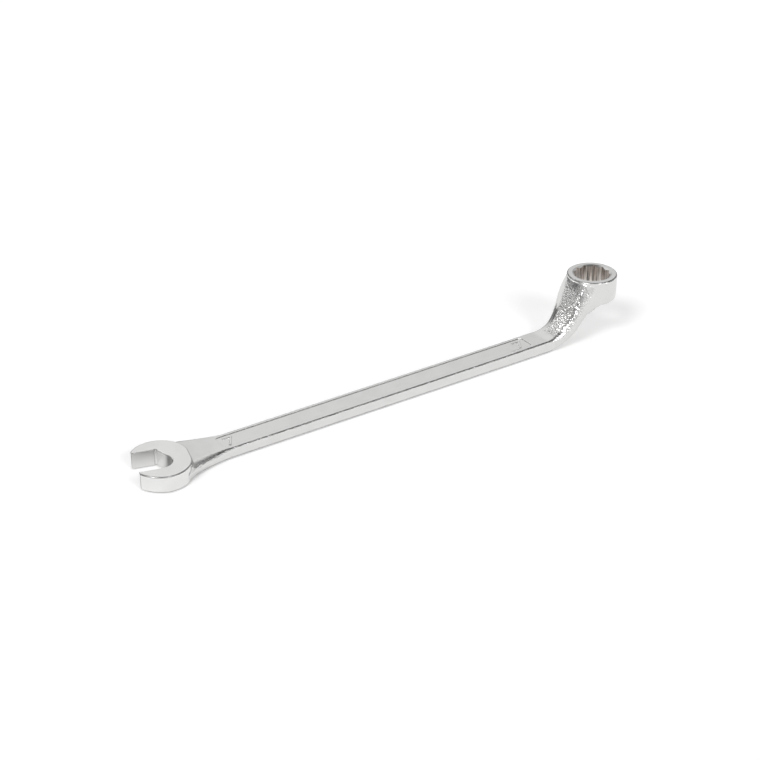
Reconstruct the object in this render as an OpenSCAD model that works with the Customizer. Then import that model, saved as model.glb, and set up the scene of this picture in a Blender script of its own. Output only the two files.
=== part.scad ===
// Offset combination wrench, drop forged in one piece, with an open jaw at one end
// and a 12-point ring at the other.
// Millimetres. X runs along the shank from the jaw to the ring, and Z is up.
// The origin lies below the centre of the nut in the jaw, in the plane of the jaw's underside.

/* [Nut] */
// Distance across the flats of the nut or bolt head
across_flats = 7; // [6:0.5:9]
// What jaw and socket add to the distance across the flats
nut_clearance = 0.08; // [0.02:0.02:0.2]

/* [Open end] */
// Thickness of the jaw head
head_thickness = 3.5; // [3:0.1:4.5]
// Angle of the jaw's mouth to the shank
jaw_angle = 15; // [10:1:20]
// Steel beside the mouth, where the cheeks are widest
cheek_width = 3.5; // [2.8:0.1:4.2]
// Radius of the outline of each cheek
cheek_radius = 5.7; // [5.2:0.1:6.5]
// Steel behind the mouth's back corner
throat_wall = 3.9; // [3.4:0.1:5]
// How far the jaw tips reach past the centre of the nut
tip_reach = 2.6; // [2:0.1:3.2]
// Radius of the relief that clears the nut's back corner
throat_radius = 2.5; // [1.5:0.1:3]
// How far that relief reaches behind the nut's back corner
throat_depth = 0.3; // [0.1:0.05:0.6]
// Radius of the relief in the mouth's side corner
corner_relief = 0.3; // [0.15:0.05:0.4]
// Chamfer round the head's edges
head_chamfer = 0.2; // [0.1:0.05:0.4]

/* [Shank] */
// Distance from the centre of the nut in the jaw to the axis of the ring
centre_distance = 107.9; // [90:1:150]
// Width of the shank
shank_width = 5.7; // [5:0.1:7]
// Thickness of the shank behind the jaw
shank_thickness = 2.45; // [2:0.05:2.8]
// Thickness of the shank at the heel
heel_thickness = 2.75; // [2.4:0.05:3.4]
// Height of the shank's underside above the jaw's underside, behind the jaw
shank_lift = 0.05; // [0.05:0.05:0.4]
// Rounding of the shank's long edges
shank_edge = 0.45; // [0.3:0.05:0.7]

/* [Flare] */
// Length of the flare that joins the shank to the head
flare_length = 11.5; // [8:0.5:14]
// Extra half width of the flare on the side that the mouth turns to
flare_far = 2.1; // [1.6:0.1:2.6]
// Extra half width of the flare on the other side
flare_near = 3.3; // [2.4:0.1:3.4]
// Rise of the flare's upper side to the head
flare_rise = 0.5; // [0:0.1:0.6]
// Rounding of the flare's upper edges at the head
flare_edge = 0.9; // [0.5:0.05:1.1]

/* [Sunk panel] */
// Depth of the panel in the shank's upper side
panel_depth = 0.2; // [0.05:0.05:0.4]
// Rim left between the panel and the shank's sides
panel_rim = 0.9; // [0.5:0.05:1.2]
// Where the panel begins, from the centre of the nut in the jaw
panel_start = 15.2; // [15:0.5:30]
// Plain length of shank between the panel and the heel
panel_end = 4.7; // [1:0.5:10]

/* [Ring end] */
// Height of the ring's upper face above the jaw's underside
ring_top = 14.1; // [13:0.1:18]
// Height of the ring
ring_height = 5.8; // [5:0.1:7]
// Steel outside the corners of the socket
ring_wall = 1.35; // [1.1:0.05:1.8]
// Rounding of the ring's upper edge
upper_edge = 0.4; // [0.2:0.05:0.6]
// Rounding of the ring's lower edge
lower_edge = 1.2; // [0.5:0.1:1.3]
// Depth of the lead-in at both mouths of the socket
lead_in = 0.4; // [0.2:0.05:0.6]
// How far the lead-in opens past the corners of the socket
lead_in_flare = 0.15; // [0.05:0.05:0.3]

/* [Neck] */
// Angle at which the neck climbs
neck_angle = 57; // [45:1:62]
// Bend radius of the neck's middle line at the heel
heel_radius = 7; // [5:0.5:8]
// Bend radius of the neck's middle line below the ring
crown_radius = 2.8; // [2:0.1:4]
// Level run of the neck inside the ring, up to the ring's axis
level_run = 2.3; // [1:0.1:4]
// Height of the neck's sides where they meet the ring
neck_side = 2.8; // [2.2:0.1:3.4]
// Rounding of the neck's edges where they meet the ring
neck_edge = 0.9; // [0.5:0.05:1]
// How much narrower than the ring the neck ends, on each side
side_step = 0.4; // [0.3:0.05:1]
// Rise of the middle of the neck's back above its sides
neck_dome = 0.6; // [0.2:0.1:1]
// Length over which the neck's back sweeps up to the ring's upper edge
sweep_length = 2.8; // [2:0.1:4]
// How far below the rounding of the ring's upper edge the neck's back ends
back_step = 0.1; // [0:0.05:0.5]
// How far above the ring's lower face the neck's belly ends
belly_step = 0.4; // [0.2:0.1:1]

/* [Hidden] */

overrun = 1;                     // how far a cut runs past the steel
round_fn = 96;                   // facets of round work
edge_steps = 5;                  // steps in each rounded edge
bend_steps = 12;                 // steps in each bend of the neck
climb_steps = 6;                 // steps in the neck's straight part
dome_steps = 14;                 // steps across the neck's back
flare_steps = 14;                // steps in the flare
flare_power = 1.55;              // how suddenly the flare widens
rise_power = 3;                  // how suddenly the flare rises
root_depth = 0.5;                // how far a section starts inside the piece it meets
throat_step = 0.1;               // what the throat's relief leaves beside the mouth's wall
tip_cut = 25;                    // size of the block that cuts the jaw's tips off flat
star_turn = 15;                  // where the first of the socket's twelve points lies
star_pitch = 30;                 // angle from one point of the socket to the next

// The nut's hexagon, which the mouth and the socket both hold.
jaw_gap = across_flats + nut_clearance;
hex_corner = jaw_gap / sqrt(3);

// The head is the hull of two discs, one for each cheek, whose centres lie behind the nut.
cheek_side = jaw_gap / 2 + cheek_width - cheek_radius;
head_back = hex_corner + throat_wall;
cheek_back = head_back - cheek_radius;

// The flare ends where its sides meet the discs.
far_centre = jaw_point(-cheek_back, -cheek_side);
near_centre = jaw_point(-cheek_back, cheek_side);
far_root = disc_x(far_centre, shank_width / 2 + flare_far);
near_root = disc_x(near_centre, -shank_width / 2 - flare_near);
flare_root = min(far_root, near_root);
shank_x = flare_root + flare_length;

// The neck's middle line bends up at the heel, climbs straight, bends back to level and runs into the ring.
ring_radius = hex_corner + ring_wall;
ring_bottom = ring_top - ring_height;
heel_middle = heel_thickness / 2;
level_z = ring_bottom + belly_step + neck_side / 2;
bends = heel_radius + crown_radius;
climb = (level_z - heel_middle - bends * (1 - cos(neck_angle))) / sin(neck_angle);
heel_x = centre_distance - level_run - bends * sin(neck_angle) - climb * cos(neck_angle);
climb_x = heel_x + heel_radius * sin(neck_angle);
climb_z = heel_middle + heel_radius * (1 - cos(neck_angle));
crown_x = climb_x + climb * cos(neck_angle);
crown_z = climb_z + climb * sin(neck_angle);
heel_path = heel_radius * neck_angle * PI / 180;
crown_path = crown_radius * neck_angle * PI / 180;
neck_path = heel_path + climb + crown_path + level_run;

// The panel's floor lies parallel to the shank's upper side, which climbs a little towards the heel.
shank_top = shank_lift + shank_thickness;
shank_slope = atan((heel_thickness - shank_top) / (heel_x - shank_x));
panel_half = shank_width / 2 - panel_rim;
panel_length = heel_x - panel_end - panel_start;

function blend(a, b, t) = a + (b - a) * t;
function ease(t) = t * t * (3 - 2 * t);

// A point of the jaw's own plane: a along the mouth towards the tips, b across it.
function jaw_point(a, b) = [
    -a * cos(jaw_angle) + b * -sin(jaw_angle),
    a * sin(jaw_angle) + b * -cos(jaw_angle)
];

// Where a disc of the head crosses the line at height y, on the shank's side.
function disc_x(centre, y) = centre[0] + sqrt(pow(cheek_radius, 2) - pow(y - centre[1], 2));

// Points of a quarter round, from angle a0.
function quarter(centre, r, a0) = [
    for (i = [0 : edge_steps])
        centre + r * [cos(a0 + 90 * i / edge_steps), sin(a0 + 90 * i / edge_steps)]
];

// A rectangle from corner a to corner b, with rounded corners and a rise added to its back.
function rounded_section(a, b, r_low, r_high, rise) =
    let (half = (b[0] - a[0]) / 2 - r_high, middle = (a[0] + b[0]) / 2)
    concat(
        quarter([a[0] + r_low, a[1] + r_low], r_low, 180),
        quarter([b[0] - r_low, a[1] + r_low], r_low, 270),
        quarter([b[0] - r_high, b[1] - r_high], r_high, 0),
        [
            for (i = [1 : dome_steps - 1])
                let (t = 1 - 2 * i / dome_steps)
                [middle + half * t, b[1] + rise * (1 - t * t)]
        ],
        quarter([a[0] + r_high, b[1] - r_high], r_high, 90)
    );

// Stands a flat section up across the wrench at x, z, leaned back by an angle.
function stood_up(section, x, z, angle) = [
    for (p = section) [x - p[1] * sin(angle), p[0], z + p[1] * cos(angle)]
];

function shank_section(x) =
    let (
        t = min(max((shank_x - x) / flare_length, 0), 1),
        run = max(x - shank_x, 0) / (heel_x - shank_x),
        widening = pow(t, flare_power),
        low = blend(shank_lift, 0, run),
        high = blend(shank_top, heel_thickness, run) + flare_rise * pow(t, rise_power),
        near = -shank_width / 2 - flare_near * widening,
        far = shank_width / 2 + flare_far * widening,
        edge = blend(shank_edge, flare_edge, t)
    )
    stood_up(rounded_section([near, low], [far, high], shank_edge, edge, 0), x, 0, 0);

// Lifts a point of the neck's back to the ring's upper edge as it nears the ring.
function swept_up(p, share) =
    let (
        gap = norm([p[0] - centre_distance, p[1]]) - ring_radius,
        nearness = 1 - min(gap / sweep_length, 1),
        height = blend(p[2], ring_top - upper_edge - back_step, min(share, 1) * nearness * nearness)
    )
    [p[0], p[1], min(height, ring_top + overrun / 2)];

// The neck's section at a place on its middle line, where s is the share of the way from heel to ring.
function neck_section(x, z, angle, s) =
    let (
        half_width = blend(shank_width / 2, ring_radius - side_step, ease(s)),
        half_height = blend(heel_middle, neck_side / 2, s),
        edge = blend(shank_edge, neck_edge, s),
        corner = [half_width, half_height],
        section = rounded_section(-corner, corner, edge, edge, neck_dome * s),
        points = stood_up(section, x, z, angle)
    )
    [for (i = [0 : len(section) - 1]) swept_up(points[i], max(section[i][1] / half_height, 0))];

function heel_section(t) =
    let (a = neck_angle * t)
    neck_section(
        heel_x + heel_radius * sin(a),
        heel_middle + heel_radius * (1 - cos(a)),
        a,
        heel_path * t / neck_path
    );

function climb_section(t) = neck_section(
    blend(climb_x, crown_x, t),
    blend(climb_z, crown_z, t),
    neck_angle,
    (heel_path + climb * t) / neck_path
);

function crown_section(t) =
    let (a = neck_angle * (1 - t))
    neck_section(
        crown_x + crown_radius * (sin(neck_angle) - sin(a)),
        crown_z + crown_radius * (cos(a) - cos(neck_angle)),
        a,
        (heel_path + climb + crown_path * t) / neck_path
    );

// A skin over sections that all have the same number of points.
module loft(sections) {
    count = len(sections[0]);
    last = len(sections) - 1;
    skin = [
        for (i = [0 : last - 1], j = [0 : count - 1])
            let (k = (j + 1) % count)
            each [
                [i * count + j, i * count + k, (i + 1) * count + j],
                [i * count + k, (i + 1) * count + k, (i + 1) * count + j]
            ]
    ];
    start_cap = [for (j = [count - 1 : -1 : 0]) j];
    end_cap = [for (j = [0 : count - 1]) last * count + j];
    polyhedron([for (s = sections) each s], concat([start_cap], skin, [end_cap]));
}

module hexagon() {
    circle(r = hex_corner, $fn = 6);
}

// Half of a chamfered plate seen from its edge, r wide and h high.
module plate_profile(r, h, c) {
    polygon([[0, 0], [r - c, 0], [r, c], [r, h - c], [r - c, h], [0, h]]);
}

// The head before its mouth is cut, h high, in the jaw's own plane.
module head_blank(h, c) {
    for (side = [-1, 1])
        translate([-cheek_back, side * cheek_side, 0])
            rotate_extrude($fn = round_fn) plate_profile(cheek_radius, h, c);
    translate([-cheek_back, 0, 0])
        rotate([90, 0, 0])
            linear_extrude(2 * cheek_side, center = true) {
                plate_profile(cheek_radius, h, c);
                mirror([1, 0]) plate_profile(cheek_radius, h, c);
            }
}

// Turns the jaw's own plane so that the mouth looks away from the shank at the jaw's angle.
module turned_jaw() {
    rotate([0, 0, 180 - jaw_angle]) children();
}

module mouth() {
    translate([0, 0, -overrun])
        linear_extrude(head_thickness + 2 * overrun) {
            hexagon();
            translate([0, -jaw_gap / 2]) square([tip_reach + overrun, jaw_gap]);
            translate([
                throat_radius - throat_depth - hex_corner,
                jaw_gap / 2 - throat_radius - throat_step
            ])
                circle(throat_radius, $fn = round_fn);
            translate([-hex_corner / 2, corner_relief / 2 - jaw_gap / 2])
                circle(corner_relief, $fn = round_fn);
        }
}

module open_end() {
    color("silver")
        turned_jaw()
            difference() {
                head_blank(head_thickness, head_chamfer);
                mouth();
                translate([tip_reach, -tip_cut / 2, -overrun])
                    cube([tip_cut, tip_cut, head_thickness + 2 * overrun]);
            }
}

module panel() {
    translate([panel_start, 0, shank_top + (panel_start - shank_x) * tan(shank_slope)])
        rotate([0, -shank_slope, 0])
            translate([0, 0, -panel_depth])
                linear_extrude(panel_depth + overrun) {
                    translate([panel_half, -panel_half])
                        square([panel_length - 2 * panel_half, 2 * panel_half]);
                    for (x = [panel_half, panel_length - panel_half])
                        translate([x, 0]) circle(panel_half, $fn = round_fn);
                }
}

module shank() {
    color("silver")
        difference() {
            loft([
                shank_section(flare_root - root_depth),
                for (i = [0 : flare_steps]) shank_section(flare_root + flare_length * i / flare_steps),
                shank_section(heel_x)
            ]);
            translate([0, 0, -overrun]) turned_jaw() head_blank(head_thickness + 2 * overrun, 0);
            panel();
        }
}

// Turns an outline about the ring's axis. It has the ring's lower face and edge, and then the given points.
module ring_turned(points) {
    translate([centre_distance, 0, 0])
        rotate_extrude($fn = round_fn)
            polygon(concat(
                [[0, ring_bottom]],
                quarter([ring_radius - lower_edge, ring_bottom + lower_edge], lower_edge, 270),
                points
            ));
}

module ring_neck() {
    color("silver")
        difference() {
            loft([
                for (i = [0 : bend_steps]) heel_section(i / bend_steps),
                for (i = [1 : climb_steps - 1]) climb_section(i / climb_steps),
                for (i = [0 : bend_steps]) crown_section(i / bend_steps),
                neck_section(centre_distance, level_z, 0, 1)
            ]);
            ring_turned([[ring_radius, ring_top + overrun], [0, ring_top + overrun]]);
            translate([centre_distance, 0, 0])
                cylinder(r = hex_corner + lead_in_flare, h = ring_top, $fn = round_fn);
        }
}

// A twelve-pointed star, which is two hexagons laid over each other.
module socket_star() {
    for (turn = [star_turn, star_turn + star_pitch])
        rotate(turn) hexagon();
}

// A lead-in whose wide mouth faces up at height 0.
module socket_mouth() {
    translate([0, 0, -lead_in])
        cylinder(r1 = jaw_gap / 2, r2 = hex_corner + lead_in_flare, h = lead_in, $fn = round_fn);
}

module ring_end() {
    color("silver")
        difference() {
            ring_turned(concat(
                quarter([ring_radius - upper_edge, ring_top - upper_edge], upper_edge, 0),
                [[0, ring_top]]
            ));
            translate([centre_distance, 0, ring_bottom - overrun])
                linear_extrude(ring_height + 2 * overrun) socket_star();
            translate([centre_distance, 0, ring_top]) socket_mouth();
            translate([centre_distance, 0, ring_bottom]) mirror([0, 0, 1]) socket_mouth();
        }
}

open_end();
shank();
ring_neck();
ring_end();
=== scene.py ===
"""Looks of a small offset combination wrench: satin chrome, an open jaw and a 12-point ring.

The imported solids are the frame. Each of the four regions of the forging gets its own piece
with finer roundings, and two plain size numerals stand on the floor of the sunk panel.
X runs along the shank from the jaw to the ring, and Z up. Lengths are metres, apart from
the defaults of the sizes, which are written in millimetres.
"""

from math import atan, atan2, cos, degrees, hypot, pi, radians, sin, sqrt, tan

import bmesh
import bpy
from bpy.props import FloatProperty, FloatVectorProperty, PointerProperty
from mathutils import Matrix, Vector, noise


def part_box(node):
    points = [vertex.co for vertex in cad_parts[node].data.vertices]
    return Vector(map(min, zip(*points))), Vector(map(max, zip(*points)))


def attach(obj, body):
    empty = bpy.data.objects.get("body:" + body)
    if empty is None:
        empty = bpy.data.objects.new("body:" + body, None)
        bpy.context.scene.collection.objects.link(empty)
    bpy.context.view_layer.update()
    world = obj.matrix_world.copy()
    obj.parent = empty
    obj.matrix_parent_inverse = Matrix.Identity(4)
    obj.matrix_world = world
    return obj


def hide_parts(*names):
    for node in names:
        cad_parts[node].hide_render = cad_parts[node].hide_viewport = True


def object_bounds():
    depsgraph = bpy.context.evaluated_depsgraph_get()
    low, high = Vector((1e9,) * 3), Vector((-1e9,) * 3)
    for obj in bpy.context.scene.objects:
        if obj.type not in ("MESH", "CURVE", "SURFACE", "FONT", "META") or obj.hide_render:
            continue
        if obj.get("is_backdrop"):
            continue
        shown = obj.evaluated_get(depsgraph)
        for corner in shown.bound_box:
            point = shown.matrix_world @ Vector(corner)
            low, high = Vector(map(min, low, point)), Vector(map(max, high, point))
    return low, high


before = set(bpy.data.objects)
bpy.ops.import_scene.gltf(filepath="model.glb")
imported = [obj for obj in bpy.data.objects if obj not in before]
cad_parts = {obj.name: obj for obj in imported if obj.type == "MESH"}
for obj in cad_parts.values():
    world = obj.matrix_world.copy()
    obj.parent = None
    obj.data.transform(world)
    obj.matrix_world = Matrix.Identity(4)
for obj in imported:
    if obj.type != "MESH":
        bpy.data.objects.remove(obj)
CAD_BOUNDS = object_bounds()

bl_info = {
    "name": "Combination wrench",
    "version": (1, 0, 0),
    "blender": (4, 5, 0),
    "location": "3D View > Sidebar > Wrench",
    "description": "Builds an offset combination wrench in satin chrome over its packed solids",
    "category": "Object",
}

MM = 0.001
JAW_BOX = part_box("open_end")
RING_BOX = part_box("ring_end")
MERGE = 1e-7  # points closer than this are one point


# ---------------------------------------------------------------- sizes and finish


def number(name, description, default, **more):
    return FloatProperty(name=name, description=description, default=default, **more)


def size(name, description, millimetres):
    return number(name, description, millimetres * MM, unit="LENGTH", precision=5)


def share(name, description, default):
    return number(name, description, default, min=0, max=1, subtype="FACTOR")


def power(name, description, default):
    return number(name, description, default, min=0)


def slant(name, description, in_degrees):
    return number(name, description, radians(in_degrees), subtype="ANGLE")


def paint(name, description, default):
    kind = {"subtype": "COLOR", "size": 3, "min": 0, "max": 1}
    return FloatVectorProperty(name=name, description=description, default=default, **kind)


class WrenchJaw(bpy.types.PropertyGroup):
    gap: size("Mouth", "Width of the mouth between its two flats", 7.08)
    thickness: size("Thickness", "Thickness of the jaw head", (JAW_BOX[1][2] - JAW_BOX[0][2]) / MM)
    angle: slant("Angle", "Angle of the mouth to the shank", 15)
    cheek_width: size("Cheek width", "Steel beside the mouth", 3.49)
    cheek_radius: size("Cheek radius", "Radius of the outline of each cheek", 5.7)
    throat_wall: size("Throat wall", "Steel behind the mouth's back corner", 3.9)
    tip_reach: size("Tip reach", "How far the tips reach past the centre of the nut", 2.6)
    throat_radius: size("Throat radius", "Radius of the relief at the mouth's back corner", 2.5)
    throat_depth: size("Throat depth", "How far that relief reaches behind the nut", 0.3)
    corner_relief: size("Corner relief", "Radius of the relief in the mouth's side corner", 0.3)
    nick_radius: size("Nick radius", "Radius of the scallop behind the throat", 1.4)
    nick_depth: size("Nick depth", "Depth of the scallop behind the throat", 0.16)
    nick_back: size("Nick back", "How far behind the centre of the nut the scallop lies", 4.05)
    nick_side: size("Nick side", "How far from the mouth's middle line the scallop lies", 0.75)
    crease: slant("Crease", "Turn of the near cheek's outline at its widest point", 7)
    edge: size("Edge", "Rounding of the head's upper outer edges", 0.23)
    lower_edge: size("Lower edge", "Rounding of the head's lower outer edges", 0.35)
    mouth_edge: size("Mouth edge", "Rounding of the mouth's edges", 0.1)


class WrenchShank(bpy.types.PropertyGroup):
    width: size("Width", "Width of the shank", 5.7)
    thickness: size("Thickness", "Thickness of the shank behind the jaw", 2.45)
    heel_thickness: size("Heel thickness", "Thickness of the shank at the heel", 2.75)
    lift: size("Lift", "Height of the underside behind the jaw", 0.05)
    offset: size("Offset", "How far the shank stands off the middle line, towards the near side", 0.33)
    draft: size("Draft", "How far each side leans in towards its foot", 0.22)
    edge: size("Edge", "Rounding of the long edges", 0.4)
    lower_edge: size("Lower edge", "Rounding of the lower long edges", 0.45)
    flare_length: size("Flare length", "Length of the flare that joins the head", 11.5)
    flare_far: size("Far flare", "Extra half width of the flare on the far side", 2.8)
    flare_near: size("Near flare", "Extra half width of the flare on the near side", 3.2)
    flare_sweep: size("Flare sweep", "How far the near side sweeps out further at its root", 0.37)
    flare_draft: size("Flare draft", "How much further the flare's near side leans in at its root", 0.6)
    flare_rise: size("Flare rise", "Rise of the flare's upper side to the head", 0.5)
    flare_edge: size("Flare edge", "Rounding of the flare's upper edges at the head", 2.35)
    fillet: size("Fillet", "Fillet between the flare's top and the head", 0.2)
    side_fillet: size("Side fillet", "Fillet between the flare's near side and the head", 0.5)
    panel_depth: size("Panel depth", "Depth of the sunk panel", 0.12)
    panel_rim: size("Panel rim", "Rim left beside the sunk panel", 0.9)
    panel_corner: size("Panel corner", "Rounding of the panel's corners", 0.7)
    panel_start: size("Panel start", "Where the panel begins", 15.1)
    panel_end: size("Panel end", "Plain length between the panel and the heel", 3.6)


class WrenchRing(bpy.types.PropertyGroup):
    wall: size("Wall", "Steel outside the corners of the socket", 1.35)
    upper_edge: size("Upper edge", "Rounding of the ring's upper edge", 0.4)
    lower_edge: size("Lower edge", "Rounding of the ring's lower edge", 1.2)
    lead_in: size("Lead-in", "Depth of the lead-in at both mouths of the socket", 0.4)
    lead_in_flare: size("Lead-in flare", "How far the lead-in opens past the corners", 0.15)


class WrenchNeck(bpy.types.PropertyGroup):
    angle: slant("Angle", "Angle at which the neck climbs", 57)
    heel_radius: size("Heel radius", "Bend radius of the middle line at the heel", 8.5)
    crown_radius: size("Crown radius", "Bend radius of the middle line below the ring", 2.8)
    level_run: size("Level run", "Level run of the neck inside the ring", 2.3)
    side: size("Side", "Height of the neck's sides at the ring", 2.8)
    edge: size("Edge", "Rounding of the neck's edges at the ring", 0.9)
    shoulder: size("Shoulder", "Rounding of the edges of the neck's back", 1.6)
    side_step: size("Side step", "How much narrower than the ring the neck ends", 0.4)
    dome: size("Dome", "Rise of the middle of the neck's back", 0.6)
    sweep_length: size("Sweep", "Length over which the back sweeps up to the rim", 2.8)
    back_step: size("Back step", "How far below the ring's rounding the back ends", 0.1)
    belly_step: size("Belly step", "How far above the ring's lower face the belly ends", 0.4)
    fillet: size("Fillet", "Fillet between the neck and the ring", 0.8)


class WrenchMarks(bpy.types.PropertyGroup):
    height: size("Height", "Height of the size numerals", 2.9)
    width: size("Width", "Width of the size numerals", 2.1)
    stroke: size("Stroke", "Width of a numeral's stroke", 0.5)
    relief: size("Relief", "How far the numerals stand above the panel's floor", 0.16)
    jaw_inset: size("Jaw inset", "How far one numeral stands from the panel's end at the jaw", 2.2)
    ring_inset: size("Ring inset", "How far the other stands from the panel's end at the ring", 2.1)
    side_inset: size("Side inset", "How far both stand off the shank's middle to the near side", 0.2)


class WrenchFinish(bpy.types.PropertyGroup):
    chrome: paint("Chrome", "Colour of the satin chrome", (0.80, 0.80, 0.79))
    socket: paint("Socket", "Colour of the broached walls inside the ring", (0.50, 0.465, 0.44))
    roughness: share("Roughness", "Roughness of the satin chrome", 0.17)
    # The darkness of the unground roundings is partly painted shade: the dark edge lines of reflected
    # shade.
    skin_shade: share("Skin shade", "Brightness of the unground roundings as a part of the chrome's", 0.42)
    hammer_grain: size("Hammer grain", "Size of the grains on the back of the neck", 0.19)
    hammer_depth: size("Hammer depth", "Depth of the grains on the back of the neck", 0.105)
    edge_grain: share("Edge grain", "Part of the hammer depth that the shank's long edges have", 0.4)
    flare_grain: share("Flare grain", "Part of the hammer depth that the flare's edges have", 0.65)
    heel_grain: share("Heel grain", "Part of the hammer depth that the neck's back has at the heel", 0.55)


class WrenchStage(bpy.types.PropertyGroup):
    floor_colour: paint("Floor", "Colour of the floor", (0.93, 0.93, 0.93))
    floor_gap: size("Floor gap", "Gap between the wrench and the floor", 0.12)
    walls: power("Walls", "Strength of the surrounding walls", 0.5)
    screen: power("Screen", "Extra strength of the bright screen beyond the wrench", 0.55)
    high_window: power("High window", "Extra strength of the small window high on the left", 4.5)
    low_window: power("Low window", "Extra strength of the small window low on the right", 4.5)
    rear_window: power("Rear window", "Extra strength of the window behind the camera", 0.65)
    side_window: power("Side window", "Extra strength of the window behind the camera on its right", 0.5)
    left_lamp: power("Left lamp", "Strength of the lamp behind the camera on its left", 1.2)
    right_lamp: power("Right lamp", "Strength of the lamp behind the camera on its right", 0.85)
    lens: number("Lens", "Focal length of the camera", 85.26, unit="CAMERA")


GROUPS = {
    "wrench_jaw": WrenchJaw,
    "wrench_shank": WrenchShank,
    "wrench_ring": WrenchRing,
    "wrench_neck": WrenchNeck,
    "wrench_marks": WrenchMarks,
    "wrench_finish": WrenchFinish,
    "wrench_stage": WrenchStage,
}


# ---------------------------------------------------------------- derived sizes

OVER = 1 * MM  # how far a cutter runs past what it cuts
INTO_HEAD = 1.1  # the flare goes on rising to this part of its length, inside the head
NEAR_GROWTH = 1.8  # power by which the flare's near side widens
FAR_GROWTH = 1.25  # power by which its far side widens
FAR_FULL = 0.74  # part of the flare's length after which the far side is straight
SWEEP_FROM = 0.8  # part of the flare's length after which the near side sweeps out further
LEAN_GROWTH = 1.5  # power by which the flare's near side leans in
EDGE_ROOM = 0.8  # largest upper rounding, as a part of the section's height
DRAFT_ENDS = (1 * MM, 12 * MM)  # how far before the heel the sides are upright, and lean fully
SHOULDER_FULL = 0.7  # part of the heel's bend after which the neck's shoulders have their rounding
OFFSET_END = 0.8  # part of the neck's path after which it stands on the middle line

LOW_STEPS = 8  # steps in each lower rounding of a section
HIGH_STEPS = 18  # steps in each upper rounding
SIDE_STEPS = 12  # steps up each side
SHANK_ACROSS = 24  # steps across the shank's upper side
NECK_ACROSS = 110  # steps across the neck's back


def blend(a, b, t):
    return a + (b - a) * t


def ease(t):
    return t * t * (3 - 2 * t)


def fade(value, start, end):
    """0 at the start and 1 at the end, with a soft turn at both."""
    return ease(min(max((value - start) / (end - start), 0), 1))


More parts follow.
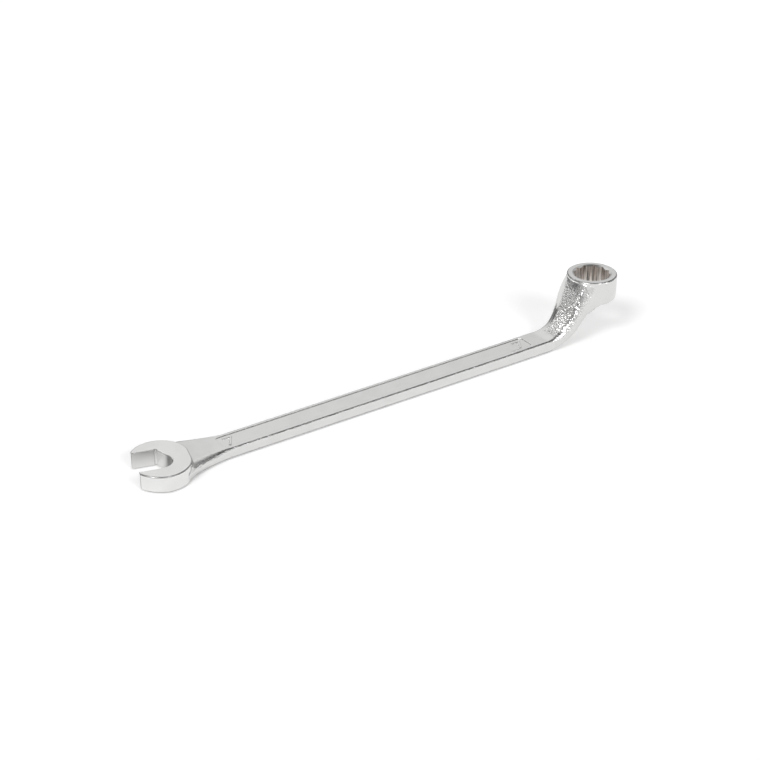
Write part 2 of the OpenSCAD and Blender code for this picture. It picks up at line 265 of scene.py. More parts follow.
class Layout:
    """The lengths and places that follow from the sizes."""

    def __init__(self, scene):
        jaw, shank, ring, neck = scene.wrench_jaw, scene.wrench_shank, scene.wrench_ring, scene.wrench_neck
        self.jaw, self.shank, self.ring, self.neck = jaw, shank, ring, neck
        self.marks, self.finish = scene.wrench_marks, scene.wrench_finish
        # The jaw's own plane has its X along the mouth and its Y across it.
        self.turn = Matrix.Rotation(pi - jaw.angle, 4, "Z")
        self.hex_corner = jaw.gap / sqrt(3)
        self.cheek_side = jaw.gap / 2 + jaw.cheek_width - jaw.cheek_radius
        self.head_back = self.hex_corner + jaw.throat_wall
        self.cheek_back = self.head_back - jaw.cheek_radius
        far_centre = self.turn @ Vector((-self.cheek_back, -self.cheek_side, 0))
        self.near_centre = self.turn @ Vector((-self.cheek_back, self.cheek_side, 0))
        far_root = self.disc_x(far_centre, shank.width / 2 + shank.flare_far)
        near_root = self.disc_x(self.near_centre, -shank.width / 2 - shank.flare_near - shank.flare_sweep)
        self.flare_root = min(far_root, near_root)
        self.shank_x = self.flare_root + shank.flare_length
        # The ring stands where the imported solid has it.
        low, high = RING_BOX
        self.ring_x = (low[0] + high[0]) / 2
        self.ring_bottom, self.ring_top = low[2], high[2]
        self.ring_radius = self.hex_corner + ring.wall
        # The neck's middle line bends up at the heel, climbs, and bends back to level at the ring.
        self.heel_z = shank.heel_thickness / 2
        self.level_z = self.ring_bottom + neck.belly_step + neck.side / 2
        bends = neck.heel_radius + neck.crown_radius
        self.climb = (self.level_z - self.heel_z - bends * (1 - cos(neck.angle))) / sin(neck.angle)
        climb_run = self.climb * cos(neck.angle)
        self.heel_x = self.ring_x - neck.level_run - bends * sin(neck.angle) - climb_run
        self.heel_path = neck.heel_radius * neck.angle
        self.crown_path = neck.crown_radius * neck.angle
        self.neck_path = self.heel_path + self.climb + self.crown_path + neck.level_run
        # The panel's floor lies parallel to the shank's upper side.
        self.shank_top = shank.lift + shank.thickness
        self.slope = atan((shank.heel_thickness - self.shank_top) / (self.heel_x - self.shank_x))
        self.panel_last = self.heel_x - shank.panel_end

    def disc_x(self, centre, y):
        """Where a cheek's back wall stands at y."""
        return centre[0] + sqrt(self.jaw.cheek_radius**2 - (y - centre[1]) ** 2)

    def top_z(self, x):
        """Height of the shank's upper side at x, behind the flare."""
        return self.shank_top + (x - self.shank_x) * tan(self.slope)

    def ring_gap(self, place):
        """How far a place stands off the ring's outer wall."""
        return hypot(place.x - self.ring_x, place.y) - self.ring_radius

    def shank_section(self, x):
        shank = self.shank
        t = min(max((self.shank_x - x) / shank.flare_length, 0), INTO_HEAD)
        grown = min(t, 1)
        run = max(x - self.shank_x, 0) / (self.heel_x - self.shank_x)
        low = blend(shank.lift, 0, run)
        high = blend(self.shank_top, shank.heel_thickness, run) + shank.flare_rise * t**3
        sweep = shank.flare_sweep * (max(grown - SWEEP_FROM, 0) / (1 - SWEEP_FROM)) ** 2
        upright, full = DRAFT_ENDS
        draft = shank.draft * fade(x, self.heel_x - upright, self.heel_x - full)
        near = -shank.width / 2 - shank.flare_near * grown**NEAR_GROWTH - sweep - shank.offset - draft
        far = shank.width / 2 + shank.flare_far * min(t / FAR_FULL, 1) ** FAR_GROWTH - shank.offset
        room = EDGE_ROOM * (high - low)
        edges = [min(blend(shank.edge, shank.flare_edge, grown**rate), room) for rate in (1, 3)]
        points = []
        for y, z in rounded_section(near, far, low, high, shank.lower_edge, *edges, 0, SHANK_ACROSS):
            lean = draft + (shank.flare_draft * grown**LEAN_GROWTH if y < 0 else 0)
            side = far if y > 0 else -near
            points.append(Vector((x, y - lean * y / side * (high - z) / (high - low), z)))
        return points

    def neck_station(self, path):
        """Place and lean of the neck's middle line after a length of path."""
        neck = self.neck
        heel = min(max(path, 0), self.heel_path)
        climb = min(max(path - self.heel_path, 0), self.climb)
        crown = min(max(path - self.heel_path - self.climb, 0), self.crown_path)
        level = path - heel - climb - crown
        rise, bend = heel / neck.heel_radius, neck.angle - crown / neck.crown_radius
        x = self.heel_x + neck.heel_radius * sin(rise) + climb * cos(neck.angle)
        z = self.heel_z + neck.heel_radius * (1 - cos(rise)) + climb * sin(neck.angle)
        x += neck.crown_radius * (sin(neck.angle) - sin(bend))
        z += neck.crown_radius * (cos(bend) - cos(neck.angle))
        return x + level, z, min(rise, bend)

    def neck_section(self, path):
        shank, neck = self.shank, self.neck
        x, z, lean = self.neck_station(path)
        s = max(path / self.neck_path, 0)
        half_width = blend(shank.width / 2, self.ring_radius - neck.side_step, ease(min(s, 1)))
        half_height = blend(self.heel_z, neck.side / 2, s)
        edge = blend(shank.lower_edge, neck.edge, s)
        shoulder = blend(shank.edge, neck.shoulder, fade(path, 0, SHOULDER_FULL * self.heel_path))
        dome = neck.dome * s
        offset = shank.offset * (1 - fade(s, 0, OFFSET_END))
        box = (-half_width, half_width, -half_height, half_height)
        points = []
        for y, h in rounded_section(*box, edge, shoulder, shoulder, dome, NECK_ACROSS):
            point = Vector((x - h * sin(lean), y - offset, z + h * cos(lean)))
            points.append(self.swept_up(point, max(h / half_height, 0)))
        return points

    def swept_up(self, point, height_share):
        """Lifts a point of the neck's back to the ring's upper edge as it nears the ring."""
        nearness = 1 - min(max(self.ring_gap(point) / self.neck.sweep_length, 0), 1)
        rim = self.ring_top - self.ring.upper_edge - self.neck.back_step
        point.z = blend(point.z, rim, min(height_share, 1) * nearness**2)
        return point


def rounded_section(left, right, low, high, r_low, r_left, r_right, dome, across):
    """A rectangle with rounded corners and a domed upper side, from the lower left corner round."""

    def corner(y, z, r, first, steps):
        turns = [radians(first + 90 * i / steps) for i in range(steps + 1)]
        return [(y + r * cos(turn), z + r * sin(turn)) for turn in turns]

    def side(y, start, end):
        return [(y, blend(start, end, i / SIDE_STEPS)) for i in range(1, SIDE_STEPS)]

    parts = [i / across for i in range(1, across)]
    top = [(blend(right - r_right, left + r_left, s), high + dome * (4 * s * (1 - s))) for s in parts]
    return (
        corner(left + r_low, low + r_low, r_low, 180, LOW_STEPS)
        + corner(right - r_low, low + r_low, r_low, 270, LOW_STEPS)
        + side(right, low + r_low, high - r_right)
        + corner(right - r_right, high - r_right, r_right, 0, HIGH_STEPS)
        + top
        + corner(left + r_left, high - r_left, r_left, 90, HIGH_STEPS)
        + side(left, high - r_left, low + r_low)
    )


# ---------------------------------------------------------------- mesh helpers

UPRIGHT = 0.2  # a face is a wall where its normal rises less than this


def new_object(name, data):
    made = bpy.data.objects.new(name, data)
    bpy.context.scene.collection.objects.link(made)
    return made


def new_piece(name, bm, material=None):
    """Makes a mesh object from a bmesh, and frees the bmesh."""
    bmesh.ops.recalc_face_normals(bm, faces=bm.faces)
    mesh = bpy.data.meshes.new(name)
    bm.to_mesh(mesh)
    bm.free()
    if material:
        mesh.materials.append(material)
    return new_object(name, mesh)


def finish_piece(piece, nodes, sharp=35):
    """Shades a piece smooth between its sharp edges, and sets it on the frame in place of its solids."""
    mesh = piece.data
    for polygon in mesh.polygons:
        polygon.use_smooth = True
    mesh.set_sharp_from_angle(angle=radians(sharp))
    normals = piece.modifiers.new("Flat faces lead", "WEIGHTED_NORMAL")
    normals.keep_sharp = True
    normals.weight = 80
    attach(piece, "root")
    if nodes:
        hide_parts(*nodes)


def cut_away(piece, bm):
    """Takes the shape that the bmesh holds out of the piece, and frees the bmesh."""
    cutter = new_piece("cutter", bm)
    cut = piece.modifiers.new("Cut", "BOOLEAN")
    cut.operation = "DIFFERENCE"
    cut.solver = "EXACT"
    cut.object = cutter
    evaluated = piece.evaluated_get(bpy.context.evaluated_depsgraph_get())
    mesh = bpy.data.meshes.new_from_object(evaluated)
    if not mesh.polygons:
        raise RuntimeError(f"cutting {piece.name} left nothing")
    piece.modifiers.clear()
    spent = (piece.data, cutter.data)
    piece.data = mesh
    mesh.name = piece.name
    bpy.data.objects.remove(cutter)
    for old in spent:
        bpy.data.meshes.remove(old)


def extruded(bm, height):
    """Closes the outline that the bmesh holds and gives it a height."""
    face = bmesh.ops.contextual_create(bm, geom=bm.edges)["faces"]
    made = bmesh.ops.extrude_face_region(bm, geom=face)
    verts = [v for v in made["geom"] if isinstance(v, bmesh.types.BMVert)]
    bmesh.ops.translate(bm, verts=verts, vec=(0, 0, height))
    bmesh.ops.recalc_face_normals(bm, faces=bm.faces)


def rounded_off(bm, geom, radius, segments, **more):
    """Rounds edges, or the corners of a flat outline."""
    usual = {"offset_type": "OFFSET", "profile": 0.5, "affect": "EDGES", "clamp_overlap": True}
    bmesh.ops.bevel(bm, geom=geom, offset=radius, segments=segments, material=-1, **(usual | more))


def drum(segments, radius, low, high, centre=(0, 0), turn=0.0, top_radius=None):
    """An upright drum, prism or cone."""
    bm = bmesh.new()
    place = Matrix.Translation((centre[0], centre[1], (low + high) / 2)) @ Matrix.Rotation(turn, 4, "Z")
    radii = {"radius1": radius, "radius2": top_radius or radius}
    bmesh.ops.create_cone(bm, cap_ends=True, segments=segments, depth=high - low, matrix=place, **radii)
    return bm


def block(low, high, turn):
    """A box between two corners, turned about the origin."""
    bm = bmesh.new()
    bmesh.ops.create_cube(bm, size=1.0)
    low, high = Vector(low), Vector(high)
    bmesh.ops.scale(bm, verts=bm.verts, vec=high - low)
    bmesh.ops.translate(bm, verts=bm.verts, vec=(low + high) / 2)
    bmesh.ops.transform(bm, matrix=turn, verts=bm.verts)
    return bm


def loft(sections):
    """A closed skin over sections that all have the same number of points, and its rows of vertices."""
    bm = bmesh.new()
    loop = bmesh.ops.create_circle(bm, segments=len(sections[0]), radius=1.0)["verts"]
    for vert, place in zip(loop, sections[0]):
        vert.co = place
    rows = [loop]
    first = edges = bm.edges[:]
    for section in sections[1:]:
        old = {v: i for i, v in enumerate(loop)}
        made = bmesh.ops.extrude_edge_only(bm, edges=edges)["geom"]
        loop = [None] * len(section)
        for vert in (g for g in made if isinstance(g, bmesh.types.BMVert)):
            index = next(old[e.other_vert(vert)] for e in vert.link_edges if e.other_vert(vert) in old)
            loop[index] = vert
            vert.co = section[index]
        rows.append(loop)
        fresh = set(loop)
        edges = [g for g in made if isinstance(g, bmesh.types.BMEdge) and fresh.issuperset(g.verts)]
    for edge_loop in (first, edges):
        bmesh.ops.edgeloop_fill(bm, edges=edge_loop)
    bmesh.ops.recalc_face_normals(bm, faces=bm.faces)
    bm.normal_update()
    return bm, rows


def forge_grain(bm, grain, depth, weigh):
    """Hammers a skin: each vertex moves along its normal, by its share of the depth."""
    bm.normal_update()
    moves = []
    for vert in bm.verts:
        share_here = weigh(vert)
        if share_here > 0:
            # Finer grains lie over the coarse ones, and in other places.
            place = vert.co / grain
            height = noise.noise(place) + 0.6 * noise.noise(place * 1.9 + Vector((7, 3, 5)))
            moves.append((vert, vert.normal * height * depth * share_here))
    for vert, move in moves:
        vert.co += move


def fillet_rise(gap, radius):
    """How far a fillet of this radius stands off one wall at a gap from the other."""
    if gap >= radius:
        return 0.0
    reach = radius - max(gap, 0)
    return radius - sqrt(max(radius**2 - reach**2, 0))


def along_wall(vert, away):
    """The part of a vertex's normal that runs along the wall that it stands off."""
    return vert.normal - vert.normal.dot(away) * away


def edge_weights(piece, weigh):
    """Writes how much each edge is rounded, as a share of the bevel's width."""
    bm = bmesh.new()
    bm.from_mesh(piece.data)
    bmesh.ops.remove_doubles(bm, verts=bm.verts, dist=MERGE)
    bmesh.ops.dissolve_degenerate(bm, dist=MERGE, edges=bm.edges)
    layers, name = bm.edges.layers.float, "bevel_weight_edge"
    layer = layers.get(name) or layers.new(name)
    for edge in bm.edges:
        if len(edge.link_faces) == 2:
            edge[layer] = weigh(edge, abs(degrees(edge.calc_face_angle(0))))
    bmesh.ops.recalc_face_normals(bm, faces=bm.faces)
    bm.to_mesh(piece.data)
    bm.free()


def give_material(piece, material, chosen):
    """Puts a material on the faces that are chosen by their place and normal, and returns its index."""
    piece.data.materials.append(material)
    index = len(piece.data.materials) - 1
    for polygon in piece.data.polygons:
        if chosen(polygon.center, polygon.normal):
            polygon.material_index = index
    return index


def round_edges(piece, width, segments, material=-1):
    """Rounds the edges by their weights, with this material's index on the new faces unless it is -1."""
    bevel = piece.modifiers.new("Rounded edges", "BEVEL")
    bevel.limit_method = "WEIGHT"
    bevel.width = width
    bevel.segments = segments
    bevel.profile = 0.5
    bevel.use_clamp_overlap = False
    bevel.miter_outer = "MITER_ARC"
    bevel.material = material


# ---------------------------------------------------------------- materials


class Shading:
    """Short calls that add nodes to the emptied tree of a material or world."""

    def __init__(self, owner):
        owner.use_nodes = True
        owner.node_tree.nodes.clear()
        self.tree = owner.node_tree
        self.at = 0

    def feed(self, node, inputs):
        for key, value in inputs.items():
            if isinstance(value, bpy.types.NodeSocket):
                self.tree.links.new(value, node.inputs[key])
            else:
                node.inputs[key].default_value = value

    def node(self, kind, inputs=None, **settings):
        node = self.tree.nodes.new(kind)
        self.at += 1
        node.location = (-220 * (self.at // 4), -260 * (self.at % 4))
        for name, value in settings.items():
            setattr(node, name, value)
        self.feed(node, inputs or {})
        return node

    def math(self, operation, a, b=0.0, c=0.0):
        return self.node("ShaderNodeMath", {0: a, 1: b, 2: c}, operation=operation).outputs[0]

    def dot(self, a, b):
        return self.node("ShaderNodeVectorMath", {0: a, 1: b}, operation="DOT_PRODUCT").outputs["Value"]

    def smooth(self, value, low, high, to_low=0.0, to_high=1.0):
        inputs = {"Value": value, "From Min": low, "From Max": high, "To Min": to_low, "To Max": to_high}
        return self.node("ShaderNodeMapRange", inputs, interpolation_type="SMOOTHSTEP").outputs["Result"]

    def mix_colour(self, factor, a, b):
        return self.node("ShaderNodeMix", {0: factor, 6: a, 7: b}, data_type="RGBA").outputs[2]

    def mapping(self, place, **inputs):
        return self.node("ShaderNodeMapping", {"Vector": place, **inputs}).outputs[0]

    def noise(self, place, scale, detail=2.0):
        inputs = {"Vector": place, "Scale": scale, "Detail": detail}
        return self.node("ShaderNodeTexNoise", inputs).outputs["Fac"]

    def bump(self, strength, distance, height):
        inputs = {"Strength": strength, "Distance": distance, "Height": height}
        return self.node("ShaderNodeBump", inputs).outputs[0]


def rgba(colour, factor=1.0):
    return (*(min(c * factor, 1.0) for c in colour), 1.0)


def once(name, make, *given):
    """The material of this name, which is made at its first use."""
    return bpy.data.materials.get(name) or make(name, *given)


def new_metal(name):
    """A bare metal, the calls for its nodes, its shader, and the place that its textures go by."""
    material = bpy.data.materials.new(name)
    s = Shading(material)
    shader = s.node("ShaderNodeBsdfPrincipled", {"Metallic": 1.0})
    s.node("ShaderNodeOutputMaterial", {"Surface": shader.outputs[0]})
    return material, s, shader, s.node("ShaderNodeTexCoord").outputs["Object"]


def satin_chrome(lay):
    return once("satin_chrome_plate", chrome_plate, lay.finish.chrome, lay.finish.roughness)


def ground_chrome(lay):
    """The same plating over the jaw's ground faces, which are brighter."""
    brighter = [c * 1.1 for c in lay.finish.chrome]
    return once("ground_chrome_plate", chrome_plate, brighter, lay.finish.roughness * 0.8)


def chrome_plate(name, chrome, roughness):
    """Chrome plating with slow clouds of duller plating and fine pits."""
    material, s, shader, place = new_metal(name)
    cloudy = s.smooth(s.noise(place, 260.0, 3.0), 0.35, 0.7)
    pits = s.noise(place, 5200.0)
    s.feed(
        shader,
        {
            "Base Color": s.mix_colour(cloudy, rgba(chrome), rgba(chrome, 0.97)),
            "Roughness": s.math("MULTIPLY_ADD", cloudy, 0.03, roughness),
            "Normal": s.bump(0.5, 0.002 * MM, pits),
        },
    )
    return material


def forged_skin(lay):
    return once("forged_skin", unground_skin_and_painted_shade, lay)


def unground_skin_and_painted_shade(name, lay):
    """The forging's own surface on its roundings: dull with fine specks, and lighter on the flare. Its
    dark colour is also painted shade, the dark lines that these edges would show by reflecting the shaded
    floor under and beside the wrench.
    """
    material, s, shader, place = new_metal(name)
    finish, root = lay.finish, lay.flare_root
    axes = s.node("ShaderNodeSeparateXYZ", {"Vector": place}).outputs
    # The lighter part lies behind the head's wall, above the foot, and fades out along the flare.
    above = s.smooth(axes[2], 0.5 * MM, MM)
    light = s.math("MULTIPLY", s.smooth(axes[0], root - 0.5 * MM, root + MM), above)
    light = s.math("MULTIPLY", light, s.smooth(axes[0], root + 3.5 * MM, lay.shank_x - 2 * MM, 1.0, 0.0))
    specks = s.smooth(s.noise(place, 4300.0), 0.38, 0.62, 0.0, 0.45)
    tone = s.math("ADD", s.math("MULTIPLY", light, 0.6), specks)
    # Painted shade: the roundings' colour sits well below the chrome's, for the dark edge lines of
    # reflected shade as well as for the duller unground skin.
    colour = s.mix_colour(tone, rgba(finish.chrome, finish.skin_shade), rgba(finish.chrome, 0.95))
    s.feed(shader, {"Base Color": colour, "Roughness": finish.roughness + 0.1})
    return material


def milled_mouth_and_painted_shade(name, lay):
    """The mouth's walls: upright cutter streaks in thin plating, with painted shade that darkens them
    towards the throat and towards the top.
    """
    material, s, shader, place = new_metal(name)
    chrome = lay.finish.chrome
    # In the mouth's own directions, X leads out of the mouth.
    own = s.mapping(place, Rotation=(0, 0, lay.jaw.angle - pi))
    streaks = s.noise(s.mapping(own, Scale=(1, 1, 0.04)), 2400.0)
    axes = s.node("ShaderNodeSeparateXYZ", {"Vector": own}).outputs
    # Painted shade: the walls darken towards the throat and towards the top, where they would reflect the
    # shaded floor and walls inside the mouth.
    throat_painted_shade = s.smooth(axes[0], -3.0 * MM, -4.3 * MM)
    high = s.smooth(axes[2], 1.2 * MM, 3.6 * MM)
    shade = s.math("MAXIMUM", s.math("MULTIPLY", throat_painted_shade, 0.95), s.math("MULTIPLY", high, 0.2))
    tone = s.math("MULTIPLY_ADD", s.smooth(streaks, 0.35, 0.65), s.math("MULTIPLY", throat_painted_shade, 0.35), shade)
    colour = s.mix_colour(tone, rgba(chrome), rgba(chrome, 0.3))
    s.feed(shader, {"Base Color": colour, "Roughness": 0.24, "Normal": s.bump(0.4, 0.008 * MM, streaks)})
    return material


def broached_steel(name, lay):
    """The darker walls inside the ring, with the upright streaks that the broach leaves."""
    material, s, shader, place = new_metal(name)
    steel = lay.finish.socket
    streaks = s.noise(s.mapping(place, Location=(-lay.ring_x, 0, 0), Scale=(1, 1, 0.05)), 3200.0)
    tone = s.smooth(streaks, 0.3, 0.7)
    s.feed(
        shader,
        {
            "Base Color": s.mix_colour(tone, rgba(steel, 0.35), rgba(steel, 1.95)),
            "Roughness": s.math("MULTIPLY_ADD", tone, 0.1, 0.25),
            "Normal": s.bump(0.5, 0.012 * MM, streaks),
        },
    )
    return material


# ---------------------------------------------------------------- the pieces

CLOSE_ROWS = 0.06 * MM  # distance between the shank's rows near the head
WIDE_ROWS = 0.14 * MM  # and along the rest of it
CLOSE_LENGTH = 3.5 * MM  # how far behind the flare's root the rows lie close
NECK_ROWS = 0.065 * MM  # distance between the neck's rows
RING_STEPS = 144  # steps round the ring
HEAD_LAP = 1 * MM  # how far the flare runs into the head
HEEL_LEAD = 1 * MM  # how far before the heel the shank ends and the neck starts

THROAT_INSET = 0.1 * MM  # how far the throat's relief stays inside the mouth's near wall
TIP_END = 0.6  # rounding of the level edges of the tips' ends, as a part of the head's
TIP_CORNER = 0.5  # rounding of the tips' upright corners, as a part of the head's
TIP_MARGIN = 0.05 * MM  # faces closer than this to the tips' ends aren't the mouth's
HEAD_TURN = 30  # least angle in degrees between two faces of the head at a rounded edge
PANEL_TURN = 40  # and at the panel's edge
PANEL_EDGE = 0.05 * MM  # rounding of the panel's edge
TOP_MARGIN = 0.02 * MM  # edges closer than this to the shank's upper side lie on it
SKIN_AND_SHADE_END = 1.5 * MM  # how far past the heel's start the duller skin of the shank, which also paints shade on its edges, goes on
INSIDE_WALL = 0.5 * MM  # deeper than this in the ring's wall, the neck's skin is left alone
RIM_WIDTH = 1.1  # width of the skin and its painted shade on the ring's rim, as a part of the rim's rounding

# How far past the nut's corners and the mouth's flats the mouth's own edges and walls may lie
MOUTH_EDGES = (0.5 * MM, 0.25 * MM)
MOUTH_WALLS = (0.6 * MM, 0.3 * MM)

# Rise of a face's normal on the roundings that keep the forging's skin, whose dark colour is partly
# painted shade, from and to
LOWER_ROUNDING = (-0.95, -0.25)
NEAR_ROUNDING = (0.15, 0.96)
RIM_ROUNDING = (0.5, 0.985)

# Where the fillet beside the head fades in, each from none to full
FILLET_TOP = (0.95, 0.6)  # rise of the normal, from the flare's top
FILLET_FOOT = (-0.9, -0.3)  # rise of the normal, from its underside
FILLET_NEAR = (-0.5 * MM, -2 * MM)  # place across, from the middle to the near side

# Where the grain fades in, each from none to full
EDGE_GRAIN_LOW = (0.08, 0.3)  # rise of the normal, off the ground sides
EDGE_GRAIN_HIGH = (0.985, 0.93)  # rise of the normal, off the ground flats
HEAD_WALL_GRAIN = (0.1 * MM, 1.2 * MM)  # gap to the head
SHANK_START_GRAIN = (0.2 * MM, 0.6 * MM)  # distance from the shank's first row
SHANK_END_GRAIN = 1 * MM  # distance from the shank's last row, where the grain is full
FLARE_FULL_GRAIN = 2 * MM  # distance from the flare's root, where the flare's grain is full
NECK_SIDE_GRAIN = (0.42, 0.2)  # part of the half width, from the smooth far flank
NECK_HEIGHT_GRAIN = (-0.1 * MM, 0.5 * MM)  # height over the neck's middle line
NECK_START_GRAIN = (1.5 * MM, 3.2 * MM)  # length of path
NECK_FULL_GRAIN = (5 * MM, 8 * MM)  # length of path
RING_WALL_GRAIN = (0.1 * MM, 0.7 * MM)  # gap to the ring


def on_lower_rounding(place, normal):
    return LOWER_ROUNDING[0] < normal.z < LOWER_ROUNDING[1]


class WRENCH_OT_jaw_head(bpy.types.Operator):
    """Builds the open jaw: an outline of arcs with a thickness, its mouth cut out and its edges rounded"""

    bl_idname = "wrench.jaw_head"
    bl_label = "Build the open jaw"

    def execute(self, context):
        lay = Layout(context.scene)
        jaw = lay.jaw
        bm = self.outline(lay)
        extruded(bm, jaw.thickness)
        foot = [e for e in bm.edges if all(v.co.z < MERGE for v in e.verts)]
        rounded_off(bm, foot, jaw.lower_edge, 8, clamp_overlap=False)
        bmesh.ops.transform(bm, matrix=lay.turn, verts=bm.verts)
        head = new_piece("jaw_head", bm, ground_chrome(lay))
        throat_x = jaw.throat_radius - jaw.throat_depth - lay.hex_corner
        throat = (throat_x, jaw.gap / 2 - jaw.throat_radius - THROAT_INSET)
        corner = (-lay.hex_corner / 2, jaw.corner_relief / 2 - jaw.gap / 2)
        mouth_end = (jaw.tip_reach + 3 * OVER, jaw.gap / 2, jaw.thickness + OVER)
        for shape in (
            self.turned(lay, 6, lay.hex_corner, (0, 0), radians(30)),
            block((0, -jaw.gap / 2, -OVER), mouth_end, lay.turn),
            self.turned(lay, 96, jaw.throat_radius, throat),
            self.turned(lay, 32, jaw.corner_relief, corner),
            self.nick(lay),
        ):
            cut_away(head, shape)
        back_turn = lay.turn.inverted()
        behind, beside = MOUTH_EDGES
        wall_behind, wall_beside = MOUTH_WALLS

        def weigh(edge, angle):
            """The upright corners of the tips and the tips' ends are rounded less than the outline."""
            middle = back_turn @ ((edge.verts[0].co + edge.verts[1].co) / 2)
            level = abs(edge.verts[0].co.z - edge.verts[1].co.z) < MERGE
            if abs(middle.x - jaw.tip_reach) < 10 * MERGE:
                weight = TIP_END if level else TIP_CORNER
            elif abs(middle.y) < jaw.gap / 2 + beside and middle.x > -lay.hex_corner - behind:
                weight = jaw.mouth_edge / jaw.edge if level else 0.0
            else:
                weight = 1.0 if level else 0.0
            return weight if angle >= HEAD_TURN else 0.0

        def in_mouth(place, normal):
            own = back_turn @ place
            near_nut = own.xy.length < lay.hex_corner + wall_behind or own.x > 0
            inside = abs(own.y) < jaw.gap / 2 + wall_beside and own.x < jaw.tip_reach - TIP_MARGIN
            return near_nut and inside and abs(normal.z) < UPRIGHT

        edge_weights(head, weigh)
        # The mouth's walls carry painted shade towards the throat and the top.
        give_material(head, once("milled_mouth_walls", milled_mouth_and_painted_shade, lay), in_mouth)
        # The lower roundings and the bevels of the rounded edges get the unground skin; its dark colour
        # also paints the shade that these edges would reflect.
        skin = give_material(head, forged_skin(lay), on_lower_rounding)
        round_edges(head, jaw.edge, 4, skin)
        finish_piece(head, ["open_end"])
        return {"FINISHED"}

    @classmethod
    def outline(cls, lay):
        """The head's outline in the jaw's own plane."""
        jaw = lay.jaw
        bm = bmesh.new()
        reach = sqrt(jaw.cheek_radius**2 - (jaw.tip_reach + lay.cheek_back) ** 2)
        far_tip = Vector((jaw.tip_reach, -lay.cheek_side - reach, 0))
        near_tip = Vector((jaw.tip_reach, lay.cheek_side + reach, 0))
        # The far cheek is one arc, from its tip round to the back.
        centre = Vector((-lay.cheek_back, -lay.cheek_side, 0))
        first = bm.verts.new(far_tip)
        start = atan2((far_tip - centre).y, (far_tip - centre).x)
        vert = cls.arc(bm, first, centre, -pi - start, 56)
        # The near cheek has two, which meet in a crease where the cheek is widest.
        back = bm.verts.new(Vector((-lay.head_back, lay.cheek_side, 0)))
        bm.edges.new((vert, back))
        widest = Vector((-lay.cheek_back, lay.cheek_side + jaw.cheek_radius, 0))
        vert = cls.arc_to(bm, back, widest, -jaw.crease / 2, 32)
        vert = cls.arc_to(bm, vert, near_tip, jaw.crease / 2, 24)
        bm.edges.new((vert, first))
        bmesh.ops.remove_doubles(bm, verts=bm.verts, dist=MERGE)
        return bm

    @staticmethod
    def arc(bm, vert, centre, angle, steps):
        still = {"axis": (0, 0, 1), "dvec": (0, 0, 0), "space": Matrix()}
        made = bmesh.ops.spin(bm, geom=[vert], cent=centre, angle=angle, steps=steps, **still)
        return next(g for g in made["geom_last"] if isinstance(g, bmesh.types.BMVert))

    @classmethod
    def arc_to(cls, bm, vert, goal, tilt, steps):
        """Runs an arc to a goal. Its normal at the cheek's widest point leans by the tilt, to the tip."""
        widest, other = (goal, vert.co.copy()) if tilt < 0 else (vert.co.copy(), goal)
        normal = Vector((sin(tilt), cos(tilt), 0))
        chord = other - widest
        radius = -chord.length_squared / (2 * normal.dot(chord))
        centre = widest - radius * normal
        a, b = vert.co - centre, goal - centre
        angle = atan2(a.x * b.y - a.y * b.x, a.x * b.x + a.y * b.y)
        return cls.arc(bm, vert, centre, angle, steps)

    @staticmethod
    def nick(lay):
        """A ball that takes a shallow scallop out of the upper face behind the throat."""
        jaw = lay.jaw
        bm = bmesh.new()
        bmesh.ops.create_icosphere(bm, subdivisions=5, radius=jaw.nick_radius)
        height = jaw.thickness + jaw.nick_radius - jaw.nick_depth
        middle = lay.turn @ Vector((-jaw.nick_back, jaw.nick_side, height))
        bmesh.ops.translate(bm, verts=bm.verts, vec=middle)
        return bm

    @staticmethod
    def turned(lay, segments, radius, place, turn=0.0):
        """A prism right through the head, at a place in the jaw's own plane."""
        centre = lay.turn @ Vector((*place, 0))
        turn += pi - lay.jaw.angle
        return drum(segments, radius, -OVER, lay.jaw.thickness + OVER, centre, turn)


